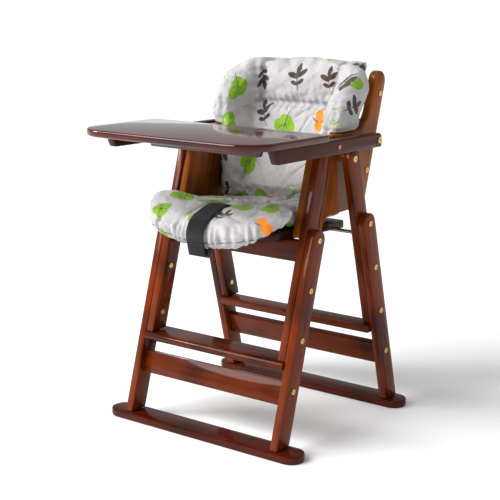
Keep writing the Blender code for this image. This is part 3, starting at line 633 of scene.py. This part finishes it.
def printedCloth(name, offset):
    paint, tree, shader = newPaint(name)
    plan = addNode(tree, "ShaderNodeUVMap", {"uv_map": "clothPlan"})
    moved = addNode(tree, "ShaderNodeVectorMath", {"operation": "ADD"}, {1: offset}, {0: plan.outputs["UV"]})
    cells = addNode(tree, "ShaderNodeTexVoronoi", {"voronoi_dimensions": "2D", "feature": "F1"},
                    {"Scale": 1 / printed["cell"], "Randomness": printed["scatter"]},
                    {"Vector": moved.outputs[0]})
    local = addNode(tree, "ShaderNodeVectorMath", {"operation": "SUBTRACT"},
                    links={0: moved.outputs[0], 1: cells.outputs["Position"]})
    chance = addNode(tree, "ShaderNodeSeparateColor", links={"Color": cells.outputs["Color"]})
    local = addNode(tree, "ShaderNodeVectorMath", {"operation": "SCALE"}, {"Scale": printed["motif"]},
                    {0: local.outputs[0]})
    angle = maths(tree, "MULTIPLY", chance.outputs["Red"], printed["spin"])
    turned = addNode(tree, "ShaderNodeVectorRotate", {"rotation_type": "Z_AXIS"},
                     links={"Vector": local.outputs[0], "Angle": angle})

    def blob(place, radii, turn=0.0, rim=0.06):
        # one printed ellipse, 1 inside and 0 outside; sizes in metres
        shifted = addNode(tree, "ShaderNodeMapping", {"vector_type": "TEXTURE"},
                          {"Location": (*place, 0), "Rotation": (0, 0, turn), "Scale": (*radii, 1)},
                          {"Vector": turned.outputs[0]})
        far = addNode(tree, "ShaderNodeVectorMath", {"operation": "LENGTH"}, links={0: shifted.outputs[0]})
        return addNode(tree, "ShaderNodeMapRange", inputs={"From Min": 1 + rim, "From Max": 1 - rim},
                       links={"Value": far.outputs["Value"]}).outputs[0]

    def join(masks, way="MAXIMUM"):
        total = masks[0]
        for mask in masks[1:]:
            total = maths(tree, way, total, mask)
        return total

    def chosen(low, high):
        # 1 in the cells whose chance lies between low and high
        above = maths(tree, "GREATER_THAN", chance.outputs["Green"], low)
        return maths(tree, "MULTIPLY", above, maths(tree, "LESS_THAN", chance.outputs["Green"], high))

    ground = noiseAt(tree, plan.outputs["UV"], printed["mottle"], 3.0)
    color = addNode(tree, "ShaderNodeMix", {"data_type": "RGBA"}, links={"Factor": ground})
    color.inputs["A"].default_value = hexToLinear(printed["ground"])
    color.inputs["B"].default_value = hexToLinear(printed["shade"])
    color = color.outputs["Result"]

    steps = printed["shares"]
    leafy, fruity, sprigged, outlined = [chosen(low, high) for low, high in zip(steps, steps[1:])]
    rings = []
    for inset in (0.0, 0.0018):  # the outline is the first pair of ovals less the second
        rings.append(join([blob((0.000, 0.010), (0.017 - inset, 0.013 - inset), 0.3, 0.03),
                           blob((0.004, -0.012), (0.013 - inset, 0.010 - inset), -0.4, 0.03)]))
    outline = maths(tree, "SUBTRACT", rings[0], rings[1], clamp=True)
    layers = [
        ("green", leafy, [
            blob((-0.010, 0.006), (0.016, 0.014), 0.5), blob((0.011, 0.008), (0.014, 0.012), -0.4),
            blob((0.001, -0.007), (0.015, 0.010))]),
        ("brown", leafy, [
            blob((0.0, -0.006), (0.0009, 0.022), 0.08), blob((-0.005, 0.004), (0.0007, 0.008), 0.8),
            blob((0.005, 0.006), (0.0007, 0.008), -0.8)]),
        ("orange", fruity, [blob((-0.007, 0.0), (0.011, 0.012)), blob((0.011, 0.005), (0.009, 0.010))]),
        ("brown", fruity, [blob((0.002, 0.013), (0.0010, 0.008), -0.5)]),
        ("brown", sprigged, [
            blob((-0.009, 0.004), (0.012, 0.005), -0.5), blob((0.009, 0.006), (0.012, 0.005), 0.5),
            blob((0.0, 0.014), (0.005, 0.011)), blob((0.0, -0.006), (0.0011, 0.020)),
            blob((-0.007, -0.010), (0.008, 0.0038), -0.5), blob((0.007, -0.009), (0.008, 0.0038), 0.5)]),
        ("green", outlined, [outline, blob((0.0, -0.004), (0.0008, 0.024))]),
    ]
    for tint, choice, masks in layers:
        mask = join([join(masks), choice], "MULTIPLY")
        over = addNode(tree, "ShaderNodeMix", {"data_type": "RGBA"}, links={"Factor": mask, "A": color})
        over.inputs["B"].default_value = hexToLinear(printed[tint])
        color = over.outputs["Result"]
    tree.links.new(color, shader.inputs["Base Color"])

    parts = addNode(tree, "ShaderNodeSeparateXYZ", links={"Vector": plan.outputs["UV"]})
    waves = [maths(tree, "SINE", maths(tree, "MULTIPLY", parts.outputs[axis], math.pi / printed["thread"]))
             for axis in ("X", "Y")]
    crumple = noiseAt(tree, plan.outputs["UV"], printed["crumple"], 4.0, Roughness=0.62, Distortion=0.4)
    soft = raised(tree, shader, crumple, 0.75, printed["crumpleDepth"])
    raised(tree, shader, maths(tree, "MULTIPLY", *waves), 0.30, printed["weaveDepth"], under=soft)
    setInputs(shader, {"Roughness": printed["roughness"], "Sheen Weight": printed["sheen"],
                       "Sheen Roughness": 0.5})
    return paint


cloths = {"seat": printedCloth("printedCottonSeat", (0.31, 0.52, 0)),
          "back": printedCloth("printedCottonBack", (1.37, 0.84, 0))}


def seatPlan(p, n, middle):
    # the seat's cut runs over the front roll without a seam
    return (p.x, p.y + (p.z - 0.50) * 0.9)


def backPlan(p, n, middle):
    # the wings' outer sides are separate cuts, joined along the crest
    if abs(middle.x) > 0.13 and n.x * middle.x > 0 and abs(n.x) > 0.45:
        return (0.52 * math.copysign(1, middle.x) + p.y, p.z * 1.02 + 0.21)
    fold = max(0, slatFront(p.z) - 0.050 - p.y)
    return (p.x + math.copysign(fold * 0.9, p.x) * min(1, max(0, (abs(p.x) - 0.08) / 0.04)), p.z)


finishPad(seatPad, "seat", seatPlan, seatKeepOff)
finishPad(backPad, "back", backPlan, backKeepOff)
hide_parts("seat_cushion")
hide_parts("back_cushion")
print("chair: liner filled,", len(seatPad.data.polygons) + len(backPad.data.polygons), "faces")


# webbing strap laid on the pad, its end folded and sewn below the front
strap = {"width": 0.048, "thick": 0.0020, "columns": 7, "lift": 0.0006, "raise": 0.0012, "clear": 0.0035,
         "start": -0.0900, "step": 0.0060, "topRows": 14, "hub": (-0.165, 0.474), "turnRows": 16,
         "turnStep": 7.0, "tail": 0.030, "tailRows": 6, "foldGap": 0.0002, "foldWidth": 0.98}
surface = BVHTree.FromPolygons([v.co.copy() for v in seatPad.data.vertices],
                               [list(f.vertices) for f in seatPad.data.polygons])


def smoothed(points, times):
    for turn in range(times):
        inner = [(a + 2 * b + c) / 4 for a, b, c in zip(points, points[1:], points[2:])]
        points = [points[0]] + inner + [points[-1]]
    return points


def onPad(x, angle):
    # the pad's surface seen from a line inside its front roll; angle 90 is straight up
    way = Vector((0, math.cos(angle), math.sin(angle)))
    hub = Vector((x, strap["hub"][0] + cut["shift"], strap["hub"][1]))
    hit = surface.ray_cast(hub + way * 0.3, -way)
    return (hit[0] + hit[1] * strap["lift"]) if hit[0] is not None else hub + way * 0.03


def strapLines():
    # the strap's middle line: over the pad's top, round its front, then straight down
    lines = []
    for column in range(strap["columns"]):
        x = strap["width"] * (column / (strap["columns"] - 1) - 0.5)
        points = []
        for k in range(strap["topRows"]):
            y = strap["start"] - k * strap["step"] + cut["shift"]
            hit = surface.ray_cast(Vector((x, y, 0.7)), Vector((0, 0, -1)))
            points.append(hit[0] + Vector((0, 0, strap["lift"])))
        for k in range(1, strap["turnRows"] + 1):
            points.append(onPad(x, math.radians(90 + k * strap["turnStep"])))
        lines.append(points)
    count = len(lines[0])
    flat = []
    for k in range(count):  # webbing is stiff across its width, so each row lies straight
        middle = sum((line[k] for line in lines), Vector()) / strap["columns"]
        top = max(line[k].z for line in lines)
        low = min(line[k].y for line in lines)
        share = min(1, max(0, (k + 1 - strap["topRows"]) / 6))
        flat.append(Vector((0, middle.y * (1 - share) + (low - strap["clear"]) * share,
                            top * (1 - share) + middle.z * share + strap["raise"])))
    flat = smoothed(flat, 4)
    last = flat[-1]
    rows = strap["tailRows"]
    for k in range(1, rows + 1):
        flat.append(Vector((0, last.y + 0.0012 * k, last.z - strap["tail"] * k / rows)))
    flat[0].z -= 0.004
    return flat


def ribbon(name, path, width, thick, material):
    # flat band with rounded selvedges
    section = ((-0.5, 0.2), (-0.5, 0.8), (-0.46, 1.0), (-0.2, 1.03), (0.2, 1.03),
               (0.46, 1.0), (0.5, 0.8), (0.5, 0.2), (0.46, 0.0), (-0.46, 0.0))
    rings, side = [], []
    for k, p in enumerate(path):
        d = (path[min(k + 1, len(path) - 1)] - path[max(k - 1, 0)]).normalized()
        n = Vector((0, d.z, -d.y))
        if n.z < 0 and k < 8:
            n = -n
        elif side and n.dot(side[-1]) < 0:
            n = -n
        side.append(n)
        ring = []
        for x, h in section:
            q = p + n * (h * thick)
            ring.append((x * width, q.y, q.z))
        rings.append(ring)
    mesh = closedLoft(rings)
    for face in mesh.polygons:
        face.use_smooth = True
    piece = bpy.data.objects.new(name, mesh)
    scene.collection.objects.link(piece)
    mesh.materials.append(material)
    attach(piece, "front_frame")
    return piece, side


def webbingCloth(name, color, ridge):
    # woven or twisted synthetic; ridge is the pitch of its ribs, in metres
    paint, tree, shader = newPaint(name)
    coords = addNode(tree, "ShaderNodeTexCoord")
    parts = addNode(tree, "ShaderNodeSeparateXYZ", links={"Vector": coords.outputs["Object"]})
    warp = maths(tree, "SINE", maths(tree, "MULTIPLY", parts.outputs["X"], 2 * math.pi / ridge))
    run = maths(tree, "ADD", parts.outputs["Y"], parts.outputs["Z"])
    weft = maths(tree, "SINE", maths(tree, "MULTIPLY", run, 2 * math.pi / (ridge * 0.8)))
    fuzz = noiseAt(tree, coords.outputs["Object"], 900.0, 2.0)
    tone = addNode(tree, "ShaderNodeMix", {"data_type": "RGBA"}, links={"Factor": fuzz})
    tone.inputs["A"].default_value = hexToLinear(color)
    tone.inputs["B"].default_value = tuple(c * 1.8 for c in hexToLinear(color)[:3]) + (1,)
    tree.links.new(tone.outputs["Result"], shader.inputs["Base Color"])
    raised(tree, shader, maths(tree, "MULTIPLY_ADD", warp, 0.6, weft), 0.6, 0.0003)
    setInputs(shader, {"Roughness": 0.55, "Specular IOR Level": 0.25, "Sheen Weight": 0.04})
    return paint


webbing = webbingCloth("blackNylonWebbing", "#060607", 0.0016)
strapPath = strapLines()
strapPiece, strapSides = ribbon("crotch_strap_webbing", strapPath, strap["width"], strap["thick"],
                                webbing)
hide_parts("crotch_strap")
tail = strap["tailRows"] + 1
foldPath = [p + n * (strap["thick"] + strap["foldGap"])
            for p, n in zip(strapPath[-tail:], strapSides[-tail:])]
ribbon("crotch_strap_fold", foldPath, strap["width"] * strap["foldWidth"], strap["thick"], webbing)


def mouldedPlastic(name, color):
    # injection-moulded part with a faint spark-eroded grain
    paint, tree, shader = newPaint(name)
    coords = addNode(tree, "ShaderNodeTexCoord")
    grain = noiseAt(tree, coords.outputs["Object"], 1400.0, 2.0)
    raised(tree, shader, grain, 0.25, 0.0001)
    rough = addNode(tree, "ShaderNodeMapRange", inputs={"To Min": 0.36, "To Max": 0.52}, links={"Value": grain})
    tree.links.new(rough.outputs[0], shader.inputs["Roughness"])
    setInputs(shader, {"Base Color": hexToLinear(color)})
    return paint


smoothCopy("strap_buckle", mouldedPlastic("blackAcetalBuckle", "#121214"))


def stitchNodes():
    # short threads laid along a curve
    group = bpy.data.node_groups.new("stitchRow", "GeometryNodeTree")
    for kind, name, way in (("NodeSocketGeometry", "Geometry", "INPUT"), ("NodeSocketFloat", "Pitch", "INPUT"),
                            ("NodeSocketFloat", "Thread", "INPUT"), ("NodeSocketMaterial", "Finish", "INPUT"),
                            ("NodeSocketGeometry", "Geometry", "OUTPUT")):
        group.interface.new_socket(name, in_out=way, socket_type=kind)
    start = addNode(group, "NodeGroupInput")
    spots = addNode(group, "GeometryNodeCurveToPoints", {"mode": "LENGTH"},
                    links={"Curve": start.outputs["Geometry"], "Length": start.outputs["Pitch"]})
    length = maths(group, "MULTIPLY", start.outputs["Pitch"], 0.62)
    thread = addNode(group, "GeometryNodeMeshCylinder", inputs={"Vertices": 8, "Side Segments": 3},
                     links={"Radius": start.outputs["Thread"], "Depth": length})
    place = addNode(group, "GeometryNodeInstanceOnPoints",
                    links={"Points": spots.outputs["Points"], "Instance": thread.outputs["Mesh"],
                           "Rotation": spots.outputs["Rotation"]})
    real = addNode(group, "GeometryNodeRealizeInstances", links={"Geometry": place.outputs["Instances"]})
    painted = addNode(group, "GeometryNodeSetMaterial",
                      links={"Geometry": real.outputs["Geometry"], "Material": start.outputs["Finish"]})
    addNode(group, "NodeGroupOutput", links={"Geometry": painted.outputs["Geometry"]})
    return group


stitchRow = stitchNodes()


def sew(name, points, pitch, thread, material):
    # a row of stitches along the points; pitch and thread radius in metres
    curve = bpy.data.curves.new(name + "Line", "CURVE")
    curve.dimensions = "3D"
    spline = curve.splines.new("POLY")
    spline.points.add(len(points) - 1)
    for spot, p in zip(spline.points, points):
        spot.co = (*p, 1)
    line = bpy.data.objects.new(name + "Line", curve)
    scene.collection.objects.link(line)
    row = line.modifiers.new("stitches", "NODES")
    row.node_group = stitchRow
    keys = {item.name: item.identifier for item in stitchRow.interface.items_tree if item.in_out == "INPUT"}
    row[keys["Pitch"]] = pitch
    row[keys["Thread"]] = thread
    row[keys["Finish"]] = material
    mesh = evaluatedCopy(line)
    bpy.data.objects.remove(line)
    piece = bpy.data.objects.new(name, mesh)
    for face in mesh.polygons:
        face.use_smooth = True
    scene.collection.objects.link(piece)
    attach(piece, "front_frame")
    return piece


# stitches in a box with a diagonal, through the strap's fold
stitched = {"half": 0.019, "pitch": 0.0032, "thread": 0.00035, "gap": 0.0003}
thread = webbingCloth("blackBondedThread", "#1B1B1E", 0.0009)
top = [p + n * (2 * strap["thick"] + stitched["gap"])
       for p, n in zip(strapPath[1 - tail:-1], strapSides[1 - tail:-1])]
box = ((-1, top[0]), (1, top[0]), (1, top[-1]), (-1, top[-1]), (-1, top[0]), (1, top[-1]))
sew("strap_box_stitch", [(side * stitched["half"], p.y, p.z) for side, p in box],
    stitched["pitch"], stitched["thread"], thread)

# corded hem round the seat pad's front
corded = {"half": 104, "steps": 120, "hub": (-0.105, 0.450), "ahead": -0.121, "radius": 0.0011, "lift": 0.0012}
cotton = webbingCloth("greyHemCord", "#6E6866", 0.0011)
hem = []
for k in range(corded["steps"] + 1):
    angle = math.radians(-corded["half"] + 2 * corded["half"] * k / corded["steps"])
    way = Vector((math.sin(angle), -math.cos(angle), 0))
    rise = seat["smile"] * math.sin(angle) ** 2
    hub = Vector((0, corded["hub"][0] + cut["shift"], corded["hub"][1] + rise))
    hit = surface.ray_cast(hub + way * 0.4, -way)
    if hit[0] is not None and hit[0].y < corded["ahead"] + cut["shift"]:
        hem.append(hit[0] + hit[1] * corded["lift"])
hem = smoothed(hem, 2)
cord = bpy.data.curves.new("seat_hem_cord", "CURVE")
cord.dimensions = "3D"
cord.bevel_depth = corded["radius"]
cord.bevel_resolution = 3
cord.use_fill_caps = True
spline = cord.splines.new("POLY")
spline.points.add(len(hem) - 1)
for spot, p in zip(spline.points, hem):
    spot.co = (*p, 1)
cordLine = bpy.data.objects.new("hemLine", cord)
scene.collection.objects.link(cordLine)
cordPiece = bpy.data.objects.new("seat_hem", evaluatedCopy(cordLine))
bpy.data.objects.remove(cordLine)
scene.collection.objects.link(cordPiece)
cordPiece.data.materials.append(cotton)
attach(cordPiece, "front_frame")
print("chair: strap, buckle, stitches and hem placed")
